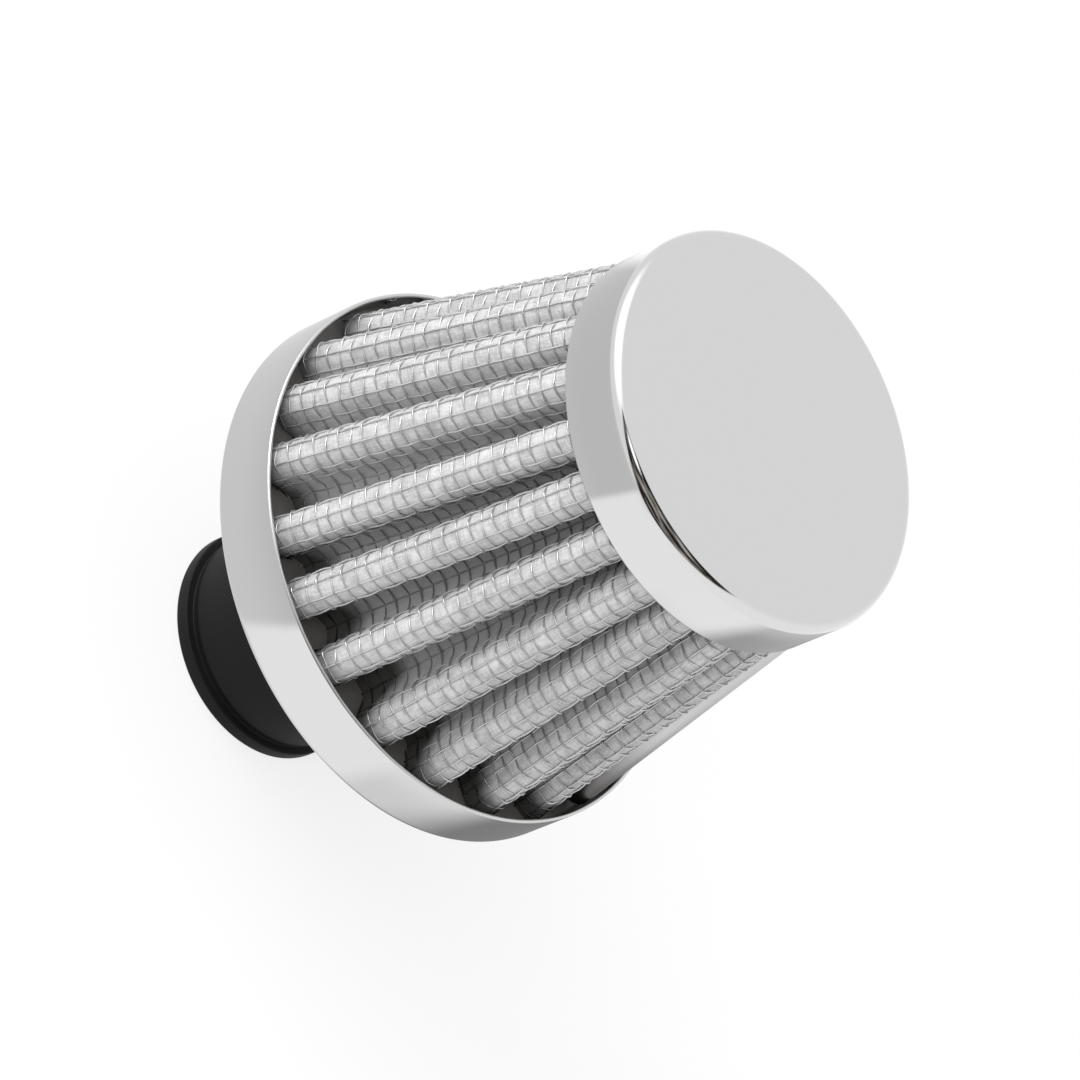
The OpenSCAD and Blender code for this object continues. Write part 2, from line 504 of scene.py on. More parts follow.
def build_mesh(name: str, points: np.ndarray, faces: list[np.ndarray]) -> Mesh:
    """Makes a smooth-shaded mesh from whole arrays.

    Args:
        name: the mesh's name.
        points: all points, one row each.
        faces: arrays of point numbers, each with one face a row and its own face size.

    Returns:
        The mesh.
    """
    mesh = bpy.data.meshes.new(name)
    corners = np.concatenate([f.ravel() for f in faces]).astype(np.int32)
    sizes = np.concatenate([np.full(len(f), f.shape[1]) for f in faces])
    starts = np.concatenate([[0], np.cumsum(sizes)[:-1]]).astype(np.int32)
    mesh.vertices.add(len(points))
    mesh.vertices.foreach_set("co", points.astype(np.float32).ravel())
    mesh.loops.add(len(corners))
    mesh.loops.foreach_set("vertex_index", corners)
    mesh.polygons.add(len(sizes))
    mesh.polygons.foreach_set("loop_start", starts)
    mesh.polygons.foreach_set("use_smooth", np.ones(len(sizes), bool))
    mesh.update(calc_edges=True)
    mesh.validate()
    return mesh


def grid_faces(rows: int, columns: int, close_rows: bool = False,
               close_columns: bool = False) -> np.ndarray:
    """Numbers the quads of a grid whose points are stored row by row.

    Args:
        rows: points along the first way.
        columns: points along the second way.
        close_rows: joins the last row to the first.
        close_columns: joins the last column to the first.

    Returns:
        One quad a row, turned the same way all over.
    """
    i = np.arange(rows if close_rows else rows - 1)[:, None]
    j = np.arange(columns if close_columns else columns - 1)[None, :]
    after_i = (i + 1) % rows
    after_j = (j + 1) % columns
    quads = np.stack([i * columns + j, i * columns + after_j,
                      after_i * columns + after_j, after_i * columns + j], -1)
    return quads.reshape(-1, 4)


def arc(centre: tuple[float, float], radius: float, start: float, end: float, steps: int) -> np.ndarray:
    """Points on a round stretch of a profile: centre plus radius times cosine and sine.

    Args:
        centre: radius and height of the arc's centre.
        radius: the arc's radius.
        start: first angle, in degrees from outwards.
        end: last angle.
        steps: how many pieces the arc has.

    Returns:
        One radius and height a row.
    """
    angle = np.radians(np.linspace(start, end, steps + 1))
    return np.stack([centre[0] + radius * np.cos(angle), centre[1] + radius * np.sin(angle)], -1)


def turned(name: str, profile: np.ndarray, steps: int = 192, edge: int = 0) -> Mesh:
    """Turns a closed profile round the axis.

    A point at radius r and height h goes to r cos a, r sin a, h for each angle a. The
    profile runs counter-clockwise when outwards is right and up is up, and may meet the
    axis, where its ring becomes one point.

    Args:
        name: the mesh's name.
        profile: one radius and height a row; the last joins the first.
        steps: how many pieces the turn has.
        edge: how many of the profile's first pieces wear the second finish.

    Returns:
        The mesh, with its faces outwards.
    """
    angle = np.linspace(0, 2 * np.pi, steps, endpoint=False)
    r, h = profile[:, 0], profile[:, 1]
    points = np.stack([r[:, None] * np.cos(angle), r[:, None] * np.sin(angle),
                       np.broadcast_to(h[:, None], (len(r), steps))], -1).reshape(-1, 3)
    quads = grid_faces(len(r), steps, close_rows=True, close_columns=True)
    mesh = build_mesh(name, points, [quads[:, ::-1]])
    second = (np.arange(len(r)) < edge).astype(np.int32)
    mesh.polygons.foreach_set("material_index", np.repeat(second, steps))
    face_outwards(mesh)
    return mesh


def face_outwards(mesh: Mesh) -> None:
    """Closes the rings that lie on the axis and turns all faces outwards.

    Args:
        mesh: the mesh, which is changed.
    """
    near = 0.001 * MM
    work = bmesh.new()
    work.from_mesh(mesh)
    middle = [v for v in work.verts if v.co.xy.length < near]
    bmesh.ops.remove_doubles(work, verts=middle, dist=near)
    bmesh.ops.recalc_face_normals(work, faces=work.faces)
    work.to_mesh(mesh)
    work.free()


def wires(name: str, lines: np.ndarray, radius: float, sides: int, away: np.ndarray) -> Mesh:
    """Sweeps a round section along many lines of the same number of points.

    Each ring is p + radius (cos b n + sin b m), where n is the part of away that is square
    to the line's direction t, and m is t x n.

    Args:
        name: the mesh's name.
        lines: line, point and coordinate.
        radius: the wire's radius.
        sides: points round the section.
        away: a direction for each point that is never along the line.

    Returns:
        The mesh of all wires, each closed at both ends.
    """
    count, samples = lines.shape[:2]
    t = np.gradient(lines, axis=1)
    t /= np.linalg.norm(t, axis=-1, keepdims=True)
    n = away - t * np.sum(away * t, -1, keepdims=True)
    n /= np.linalg.norm(n, axis=-1, keepdims=True)
    m = np.cross(t, n)
    b = np.linspace(0, 2 * np.pi, sides, endpoint=False)[:, None]
    ring = lines[:, :, None] + radius * (np.cos(b) * n[:, :, None] + np.sin(b) * m[:, :, None])
    tube = grid_faces(samples, sides, close_columns=True)
    start = (np.arange(count) * samples * sides)[:, None, None]
    quads = (tube[None] + start).reshape(-1, 4)
    first = np.arange(sides)[None] + start[:, 0]
    last = np.arange(sides)[None] + (samples - 1) * sides + start[:, 0]
    return build_mesh(name, ring.reshape(-1, 3), [quads[:, ::-1], first, last[:, ::-1]])


def dress(mesh: Mesh, material: Material, slot: Slot, *nodes: str) -> None:
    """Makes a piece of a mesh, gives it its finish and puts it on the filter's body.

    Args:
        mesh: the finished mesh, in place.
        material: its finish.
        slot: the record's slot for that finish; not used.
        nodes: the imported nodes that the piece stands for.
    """
    piece = put_in_scene(mesh.name, mesh)
    mesh.materials.append(material)
    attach(piece, ROOT)
    if nodes:
        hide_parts(*nodes)
    LOG.info("%s: %d faces", piece.name, len(mesh.polygons))


@dataclass
class PressedCup:
    """A shallow cup drawn from sheet steel: a flat floor, a rounded edge and a wall.

    The hold is how far past a bend a row of points keeps the shading flat.
    """

    name: str
    node: str
    edge: float
    hole: float = 0.0
    upright: bool = False
    wall_hold: float = 0.3 * MM
    floor_hold: float = 0.15 * MM
    cut_steps: int = 8
    outer_steps: int = 20
    inner_steps: int = 10
    floor_rows: int = 24
    steps: int = 256

    def profile(self, radius: float, height: float) -> np.ndarray:
        """Works out the section, mouth down.

        Args:
            radius: outer radius.
            height: height of the cup.

        Returns:
            Radius and height of each point: cut edge, outer wall, outer edge arc, floor,
            and back along the inside.
        """
        bend = (radius - self.edge, height - self.edge)
        out = np.linspace(bend[0] - self.floor_hold, self.hole, self.floor_rows)
        return np.concatenate([
            arc((radius - SHEET / 2, SHEET / 2), SHEET / 2, 180, 360, self.cut_steps),
            [[radius, bend[1] - self.wall_hold]],
            arc(bend, self.edge, 0, 90, self.outer_steps),
            np.stack([out, np.full(self.floor_rows, height)], -1),
            np.stack([out[::-1], np.full(self.floor_rows, height - SHEET)], -1),
            arc(bend, self.edge - SHEET, 90, 0, self.inner_steps)])

    def build(self, material: Material, cut: Material) -> None:
        """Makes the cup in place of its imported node.

        Args:
            material: the cup's finish.
            cut: the finish of the sheet's cut edge.
        """
        low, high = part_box(self.node)
        profile = self.profile(high.x, high.z - low.z)
        profile[:, 1] = high.z - profile[:, 1] if self.upright else profile[:, 1] + low.z
        mesh = turned(self.name, profile, self.steps, self.cut_steps)
        dress(mesh, material, Slot.CHROME, self.node)
        mesh.materials.append(cut)


@dataclass
class FoldedStrip:
    """The ring of pleats as a surface of three numbers.

    t counts pleats round the pack, with a crest at each whole number and the seam at zero,
    z is the height, and depth is the distance inwards from the outside of the screen. The
    pleats are pushed together by hand, so they stand a little unevenly; the leans are in
    degrees from an even spacing, crest by crest, at the base and at the cap.
    """

    count: int = 22
    seam_angle: float = 4.0
    pleat_depth: float = 5.2 * MM
    crest: float = 2.0 * MM
    flatness: float = 0.45
    wire: float = 0.18 * MM
    gauze: float = 0.4 * MM
    play: float = 0.08 * MM
    fold_gap: float = 0.1 * MM
    base_inset: float = 0.1 * MM
    cap_inset: float = 0.35 * MM
    long_pitch: float = 1.6 * MM
    rise: float = 0.1 * MM
    sway: float = 0.16
    squeeze: float = 0.12 * MM
    tightest: float = 0.1 * MM
    base_lean: tuple[float, ...] = (0.0, 0.9, -0.6, 1.1, 0.3, -0.9, -0.2, 1.0, -0.4, 0.6, -1.5, -4.4,
                                    -2.2, -2.4, -2.4, -1.2, -2.3, -2.2, -0.5, 0.5, 2.8, 2.9, 0.0)
    cap_lean: tuple[float, ...] = (0.0, 0.2, 0.8, -0.7, 0.9, 0.6, -1.1, 0.3, 0.8, -0.6, -2.0, -6.0,
                                   -6.6, -4.2, -2.6, -0.2, 0.2, 0.6, 0.9, 1.1, 2.9, 2.6, 0.0)
    cap_rise: tuple[tuple[int, float], ...] = ((10, 0.3 * MM), (11, 0.2 * MM), (21, 0.3 * MM))
    seed: int = 7

    def __post_init__(self) -> None:
        """Takes the levels of the two seals and the cone of the crests from the frame."""
        self.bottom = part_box("base_potting")[1].z
        self.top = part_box("cap_potting")[0].z
        self.base_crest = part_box("base_cup")[1].x - SHEET - self.base_inset
        self.cap_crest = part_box("end_cap")[1].x - SHEET - self.cap_inset
        self.slope = (self.base_crest - self.cap_crest) / (self.top - self.bottom)
        self.screen = 2 * self.wire
        self.gauze_in = self.screen + self.play + self.gauze
        self.thick = self.gauze_in + self.play + self.screen
        self.seam_half = self.thick + self.fold_gap / 2
        even = self.seam_angle + np.arange(self.count + 1) * 360 / self.count
        self.crests = np.radians(np.stack([even + self.base_lean, even + self.cap_lean]))
        draw = np.random.default_rng(self.seed)
        self.rises = draw.uniform(-1, 1, (2, self.count + 1)) * self.rise
        self.rises[:, [0, -1]] = 0
        for number, rise in self.cap_rise:
            self.rises[1, number] = rise
        middle = (self.bottom + self.top) / 2
        valley = float(self.valley(middle, math.pi / self.count))
        over = math.pi / 2 * (self.crest - self.wire)
        under = math.pi / 2 * (valley + self.wire)
        length = over + self.pleat_depth - self.crest - valley + under
        self.pleat_length = 2 * length
        self.over_share = over / length
        self.under_share = under / length
        self.first = self.over_share / 2
        self.last = self.count - self.first
        self.long_count = int((self.last - self.first) * self.pleat_length / self.long_pitch)
        self.per_pleat = self.long_count / (self.last - self.first)

    def crest_radius(self, z: np.ndarray) -> np.ndarray:
        """Radius of the cone of the crests, which falls evenly with the height z."""
        return self.base_crest - self.slope * (z - self.bottom)

    def valley(self, z: np.ndarray, half: np.ndarray) -> np.ndarray:
        """Radius of a valley's bend, as wide as the folds inside the pack leave room for.

        Args:
            z: height.
            half: half of the angle between the two crests beside it.

        Returns:
            The radius.
        """
        floor = self.crest_radius(z) - self.pleat_depth
        sine = np.sin(half)
        room = floor * sine - self.thick - self.fold_gap / 2 - self.squeeze
        return np.maximum(room, self.tightest) / (1 - sine)

    def between(self, ends: np.ndarray, number: np.ndarray, z: np.ndarray) -> np.ndarray:
        """Value of a crest at a height, evenly between its values at the base and the cap."""
        share = (z - self.bottom) / (self.top - self.bottom)
        return ends[0][number] * (1 - share) + ends[1][number] * share

    def smooth(self, t: np.ndarray, z: np.ndarray, depth: np.ndarray) -> np.ndarray:
        """Places points of the strip as if the wires were soft.

        From a crest to the next valley the line is a quarter bend of radius crest - depth,
        a straight side, and a quarter bend of radius valley + depth, each with a fixed
        share of the length. The second half of a pleat mirrors the first. The valleys of
        the pack's two sides sway towards its front, by a share of a pleat.

        Args:
            t: pleats from the seam.
            z: height.
            depth: distance inwards from the outside.

        Returns:
            x, y and z of each point.
        """
        t, z, depth = np.broadcast_arrays(t, z, depth)
        low = np.clip(np.floor(t).astype(int), 0, self.count - 1)
        part = t - low
        mirrored = part > 0.5
        side = np.where(mirrored, -1.0, 1.0)
        number = low + mirrored
        run = 2 * np.where(mirrored, 1 - part, part)
        before = self.between(self.crests, low, z)
        after = self.between(self.crests, low + 1, z)
        at_seam = number % self.count == 0
        top = self.crest_radius(z) + self.between(self.rises, number, z)
        over = np.pi / 2 * (1 - np.clip(run / self.over_share, 0, 1))
        bend = self.crest - depth
        across = np.where(at_seam, self.seam_half - depth, bend * np.cos(over))
        out = top - self.crest + np.where(at_seam, 0, bend * np.sin(over))
        first = spread(side * across, out, np.where(mirrored, after, before))
        valley = self.valley(z, (after - before) / 2)
        under = np.pi / 2 * np.clip((run - 1 + self.under_share) / self.under_share, 0, 1)
        radius = valley + depth
        floor = self.crest_radius(z) - self.pleat_depth + valley
        middle = (before + after) / 2
        middle = middle - self.sway * (after - before) * np.cos(middle)
        last = spread(-side * radius * np.cos(under), floor - radius * np.sin(under), middle)
        mix = np.clip((run - self.over_share) / (1 - self.over_share - self.under_share), 0, 1)
        flat = first * (1 - mix) + last * mix
        return np.stack([flat[0], flat[1], z], -1)

    def point(self, t: np.ndarray, z: np.ndarray, depth: np.ndarray) -> np.ndarray:
        """Places points of the strip, which bends mostly at the long wires.

        Each point is a mix of the smooth line and the straight line between its two
        neighbouring long wires.

        Args:
            t: pleats from the seam.
            z: height.
            depth: distance inwards from the outside.

        Returns:
            x, y and z of each point.
        """
        place = (t - self.first) * self.per_pleat - 0.5
        low = np.floor(place)
        part = (place - low)[..., None]
        before = self.smooth(self.first + (low + 0.5) / self.per_pleat, z, depth)
        after = self.smooth(self.first + (low + 1.5) / self.per_pleat, z, depth)
        straight = before * (1 - part) + after * part
        return straight * self.flatness + self.smooth(t, z, depth) * (1 - self.flatness)

    def outward(self, t: np.ndarray, z: np.ndarray, depth: np.ndarray) -> np.ndarray:
        """Direction out of the strip at t, z and depth, found from two depths."""
        step = 0.1 * MM
        return self.point(t, z, depth - step) - self.point(t, z, depth + step)

    def mark_folds(self, mesh: Mesh) -> None:
        """Writes how deep in a fold each point lies, by which the finishes paint shade into the folds.

        It is the cube of the way in from the cone of the crests, as a share of a pleat.

        Args:
            mesh: a mesh that follows the strip.
        """
        points = np.empty(len(mesh.vertices) * 3, np.float32)
        mesh.vertices.foreach_get("co", points)
        x, y, z = points.reshape(-1, 3).T
        share = np.clip((self.crest_radius(z) - np.hypot(x, y)) / self.pleat_depth, 0, 1)
        fold = mesh.attributes.new(FOLD, "FLOAT", "POINT")
        fold.data.foreach_set("value", share.astype(np.float32) ** 3)


def spread(across: np.ndarray, out: np.ndarray, angle: np.ndarray) -> np.ndarray:
    """Turns distances across a fold and out from the axis into x and y at its angle."""
    return np.stack([out * np.cos(angle) - across * np.sin(angle),
                     out * np.sin(angle) + across * np.cos(angle)])


@dataclass
class WovenScreen:
    """Plain-weave wire cloth folded with the strip.

    A wire round the pack swings outwards over every second long wire and inwards under
    the others, as a cosine, and its neighbour swings the other way. The long wires are
    stiffer and swing less; the two swings together make one wire's thickness. A wire round
    the pack also wanders off its row by a sum of slow waves.
    """

    strip: FoldedStrip
    name: str
    middle: float
    pitch: float = 1.336 * MM
    first_row: float = 0.6
    round_swing: float = 0.65
    round_samples: int = 6
    long_samples: int = 3
    sides: int = 5
    wander: float = 0.14 * MM
    waves: int = 4
    slowest: float = 0.23
    quicker: float = 0.31
    scatter: float = 9.0
    seed: int = 3

    def __post_init__(self) -> None:
        """Counts the wires both ways."""
        strip = self.strip
        self.long_t = strip.first + (np.arange(strip.long_count) + 0.5) / strip.per_pleat
        self.round_count = int((strip.top - strip.bottom) / self.pitch)
        self.round_z = strip.bottom + (np.arange(self.round_count) + self.first_row) * self.pitch

    def drop(self, t: np.ndarray, z: np.ndarray) -> np.ndarray:
        """How far a wire round the pack falls from its crests, to be square to them.

        The crests lean in with the taper, so it falls by the slope times the way inwards.

        Args:
            t: pleats from the seam.
            z: height of its crests.

        Returns:
            The fall at each point.
        """
        strip = self.strip
        place = strip.smooth(t, z, self.middle)
        radius = np.hypot(place[..., 0], place[..., 1])
        return strip.slope * (strip.crest_radius(z) - radius)

    def round_lines(self) -> tuple[np.ndarray, np.ndarray]:
        """Lines of the wires round the pack.

        Returns:
            The lines and a direction away from them, along the axis.
        """
        strip = self.strip
        count = strip.long_count * self.round_samples
        t = np.linspace(strip.first, strip.last, count)[None]
        number = np.arange(self.round_count)[:, None]
        draw = np.random.default_rng(self.seed)
        sway = draw.uniform(-1, 1, (self.round_count, self.waves, 1))
        turns = 2 * np.pi * t * (self.slowest + self.quicker * np.arange(self.waves)[:, None])
        waves = np.sum(sway * np.sin(turns + self.scatter * sway), axis=1) / 2
        z = self.round_z[:, None] + self.wander * waves
        z = z - self.drop(t, z)
        weave = np.cos(np.pi * ((t - strip.first) * strip.per_pleat - 0.5)) * (-1.0) ** number
        lines = strip.point(t, z, self.middle - self.round_swing * strip.wire * weave)
        return lines, np.broadcast_to([0.0, 0.0, 1.0], lines.shape)

    def long_lines(self) -> tuple[np.ndarray, np.ndarray]:
        """Lines of the wires that run from seal to seal.

        Returns:
            The lines and a direction away from them, out of the strip.
        """
        strip = self.strip
        count = self.round_count * self.long_samples + 1
        z = np.linspace(strip.bottom, strip.top, count)[None]
        t = self.long_t[:, None]
        number = np.arange(strip.long_count)[:, None]
        phase = np.pi * (z + self.drop(t, z) - self.round_z[0]) / self.pitch
        weave = -np.cos(phase) * (-1.0) ** number
        depth = self.middle - (1 - self.round_swing) * strip.wire * weave
        return strip.point(t, z, depth), strip.outward(t, z, depth)

    def build(self, weft: Material, warp: Material, node: str) -> None:
        """Makes the wires of both runs.

        Args:
            weft: finish of the wires round the pack.
            warp: finish of the wires from seal to seal.
            node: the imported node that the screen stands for.
        """
        rings, up = self.round_lines()
        cut = len(rings) // 2
        for end, material, lines, away, nodes in (
                (f"{Run.ROUND.value}_low", weft, rings[:cut], up[:cut], [node]),
                (f"{Run.ROUND.value}_high", weft, rings[cut:], up[cut:], []),
                (Run.LONG.value, warp, *self.long_lines(), [])):
            mesh = wires(f"{self.name}_{end}", lines, self.strip.wire / 2, self.sides, away)
            self.strip.mark_folds(mesh)
            dress(mesh, material, Slot.WIRE, *nodes)


@dataclass
class GauzePleats:
    """The folded gauze, pressed against the screen so that it swells through its openings."""

    strip: FoldedStrip
    screen: WovenScreen
    face: float = 0.3 * MM
    swell: float = 0.1 * MM
    per_opening: int = 4
    rows_per_opening: float = 3.8
    inner_rows: int = 4
    embed: float = 1.5 * MM

    def build(self, material: Material) -> None:
        """Makes the gauze as one closed sheet.

        The outer face is at depth d - s sqrt |sin a sin b|, where a and b go through half
        a turn from wire to wire, and the inner face is plain.

        Args:
            material: the gauze's finish.
        """
        strip = self.strip
        screen = self.screen
        columns = strip.long_count * self.per_opening
        rows = int((strip.top - strip.bottom) / screen.pitch * self.rows_per_opening)
        t = np.linspace(strip.first, strip.last, columns)[None]
        low, high = strip.bottom - self.embed, strip.top + self.embed
        z = np.linspace(low, high, rows)[:, None]
        across = np.sin(np.pi * ((t - strip.first) * strip.per_pleat - 0.5))
        along = np.sin(np.pi * (z + screen.drop(t, z) - screen.round_z[0]) / screen.pitch)
        outer = strip.point(t, z, self.face - self.swell * np.sqrt(np.abs(across * along)))
        few = np.linspace(low, high, self.inner_rows)[:, None]
        inner = strip.point(t, few, np.full_like(few, strip.gauze_in))[::-1]
        points = np.concatenate([outer, inner]).reshape(-1, 3)
        rows += self.inner_rows
        quads = grid_faces(rows, columns, close_rows=True)
        left = np.arange(rows) * columns
        mesh = build_mesh("gauze_pleats", points, [quads, left[None], (left + columns - 1)[None, ::-1]])
        run = np.broadcast_to(t * strip.pleat_length, (rows, columns)).ravel()
        cloth = np.stack([run, points[:, 2]], -1).astype(np.float32)
        corner = np.empty(len(mesh.loops), np.int32)
        mesh.loops.foreach_get("vertex_index", corner)
        mesh.uv_layers.new(name="cloth").data.foreach_set("uv", cloth[corner].ravel())
        strip.mark_folds(mesh)
        dress(mesh, material, Slot.GAUZE, "pleated_media")


@dataclass
class SeamClip:
    """The crimped channel over the seam: straight legs, a round back and a rounded foot."""

    strip: FoldedStrip
    wall: float = 0.3 * MM
    depth: float = 4.0 * MM
    base_rise: float = 0.4 * MM
    cap_rise: float = 0.1 * MM
    steps: int = 24
    foot_rows: int = 9
    rows: int = 29

    def build(self, material: Material) -> None:
        """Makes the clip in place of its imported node.

        Each level is a U of half width w: legs at plus and minus w and a half circle of
        radius w over them. At the foot the circle sinks by w (1 - cos b) / 2 while the
        level rises by w (1 - sin b) / 2.

        Args:
            material: the clip's finish.
        """
        strip = self.strip
        low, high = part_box("seam_clip")
        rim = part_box("base_cup")[1].z
        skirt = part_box("end_cap")[0].z
        outer = strip.seam_half + self.wall
        b = np.linspace(np.pi / 2, 0, self.foot_rows)
        z = np.concatenate([low.z + outer * (1 - np.sin(b)) / 2,
                            np.linspace(low.z + outer / 2, high.z, self.rows + 1)[1:]])
        sink = np.concatenate([outer * (1 - np.cos(b)) / 2, np.zeros(self.rows)])
        crest = strip.crest_radius(z)
        rise = self.base_rise + (self.cap_rise - self.base_rise) * (z - rim) / (skirt - rim)
        middle = (crest + rise - outer - sink)[:, None]
        foot = (crest - self.depth)[:, None]
        a = np.linspace(np.pi, 0, self.steps + 1)
        sections = []
        for half, way in ((outer, 1), (strip.seam_half, -1)):
            across = np.concatenate([[-half], half * np.cos(a), [half]])
            out = np.concatenate([foot, middle + half * np.sin(a), foot], 1)
            sections.append((np.broadcast_to(across, out.shape)[:, ::way], out[:, ::way]))
        across = np.concatenate([s[0] for s in sections], 1)
        out = np.concatenate([s[1] for s in sections], 1)
        flat = spread(across, out, math.radians(strip.seam_angle))
        points = np.stack([flat[0], flat[1], np.broadcast_to(z[:, None], out.shape)], -1)
        columns = out.shape[1]
        quads = grid_faces(len(z), columns, close_columns=True)
        i = np.arange(columns // 2 - 1)
        under = np.stack([i, i + 1, columns - 2 - i, columns - 1 - i], -1)
        above = (under + (len(z) - 1) * columns)[:, ::-1]
        faces = [quads, under[:, ::-1], above[:, ::-1]]
        mesh = build_mesh("seam_clip_strip", points.reshape(-1, 3), faces)
        face_outwards(mesh)
        dress(mesh, material, Slot.CLIP, "seam_clip")


@dataclass
class Seals:
    """The two cast seals, whose surface rises a little where it wets the metal wall."""

    wetting: float = 0.35 * MM
    opening: float = 9.0 * MM
    opening_edge: float = 0.3 * MM
    flange: float = 13.5 * MM
    corner: float = 0.5 * MM
    cap_edge: float = 0.9 * MM
    arc_steps: int = 6
    rows: int = 20

    def base(self, material: Material) -> None:
        """Makes the ring in the cup: flat, curving up at the wall, open in the middle.

        Args:
            material: the seal's finish.
        """
        low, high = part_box("base_potting")
        r = high.x
        rise = self.wetting
        neck_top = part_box("neck")[1].z
        flat = np.linspace(r - 2 * rise, self.opening + self.opening_edge, self.rows)
        profile = np.concatenate([
            [[self.opening, neck_top], [self.flange, neck_top], [self.flange, low.z],
             [r - self.corner, low.z], [r, low.z + self.corner]],
            arc((r - rise, high.z + rise), rise, 360, 270, self.arc_steps),
            np.stack([flat, np.full(self.rows, high.z)], -1),
            [[self.opening, high.z - self.opening_edge]]])
        dress(turned("base_seal_ring", profile), material, Slot.POTTING, "base_potting")

    def cap(self, material: Material) -> None:
        """Makes the disc in the cap, with its surface down.

        Args:
            material: the seal's finish.
        """
        low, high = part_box("cap_potting")
        r = high.x
        edge = self.cap_edge
        profile = np.concatenate([
            [[0, low.z], [r / 2, low.z], [r, low.z]],
            arc((r - edge, high.z - edge), edge, 0, 90, self.arc_steps),
            [[r / 2, high.z], [0, high.z]]])
        dress(turned("cap_seal_disc", profile), material, Slot.POTTING, "cap_potting")


@dataclass
class RubberNeck:
    """The moulded spigot: a bore with a chamfer, a raised lip, a relief and a flange."""

    bore: float = 8.0 * MM
    body: float = 10.45 * MM
    lip: float = 11.03 * MM
    lip_height: float = 1.5 * MM
    relief: float = 0.25 * MM
    relief_width: float = 0.6 * MM
    relief_ease: float = 0.05 * MM
    chamfer: float = 0.5 * MM
    edge: float = 0.3 * MM
    arc_steps: tuple[int, int, int] = (6, 5, 4)
    rows: int = 12
    rows_start: float = 1.0 * MM
    rows_end: float = 0.2 * MM

    def build(self, material: Material) -> None:
        """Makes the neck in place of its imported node.

        Args:
            material: the rubber's finish.
        """
        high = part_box("neck")[1]
        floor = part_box("base_potting")[0].z
        edge, half = self.edge, self.edge / 2
        waist = self.body - self.relief
        end = self.lip_height + self.relief_width
        foot, rim, root = self.arc_steps
        heights = np.linspace(end + self.rows_start, floor - self.rows_end, self.rows)
        profile = np.concatenate([
            [[self.bore + self.chamfer, 0.0]],
            arc((self.lip - edge, edge), edge, 270, 360, foot),
            arc((self.lip - half, self.lip_height - half), half, 0, 90, rim),
            arc((waist + half, self.lip_height + half), half, 270, 180, root),
            [[waist, end - 2 * self.relief_ease], [waist + self.relief_ease, end],
             [self.body, end + self.relief], [self.body, end + 2 * self.relief]],
            np.stack([np.full(self.rows, self.body), heights], -1),
            [[self.body, floor], [high.x, floor], [high.x, high.z], [self.bore, high.z],
             [self.bore, self.chamfer]]])
        dress(turned("neck_moulding", profile), material, Slot.RUBBER, "neck")


@dataclass(frozen=True)
class Edge:
    """A soft edge in the tent, which parts the directions by how far they go across it."""

    across: Triple
    place: float = 0.0
    soft: float = 0.04

    def side(self, tree: Tree, way: Socket) -> Socket:
        """Tells on which side of the edge a direction lies.

        Args:
            tree: the node tree.
            way: the direction.

        Returns:
            A socket that goes from zero to one over the edge.
        """
        along = add_node(tree, "VectorMath", {0: way, 1: self.across}, operation="DOT_PRODUCT")["Value"]
        return add_node(tree, "MapRange", {"Value": along, "From Min": self.place - self.soft,
                                           "From Max": self.place + self.soft},
                        interpolation_type="SMOOTHSTEP")[0]


@dataclass(frozen=True)
class Lamp:
    """An area lamp and its glow in the tent.

    The reach is half its width and height as seen from one metre, and the power is in watts.
    """

    name: str
    glow: Edge
    reach: tuple[float, float]
    power: float
    far: float = 0.8

    def hang(self) -> None:
        """Hangs the lamp where the tent shows its glow, facing the filter.

        Metal shows the glow, with its soft rim, and not the lamp.
        """
        data = bpy.data.lights.new(self.name, "AREA")
        data.shape = "RECTANGLE"
        data.size, data.size_y = (2 * half * self.far for half in self.reach)
        data.energy = self.power
        lamp = put_in_scene(self.name, data)
        way = Vector(self.glow.across)
        turn = way.to_track_quat("Z", "Y").to_matrix()
        lamp.matrix_world = Matrix.Translation(way * self.far) @ turn.to_4x4()
        lamp.visible_glossy = False


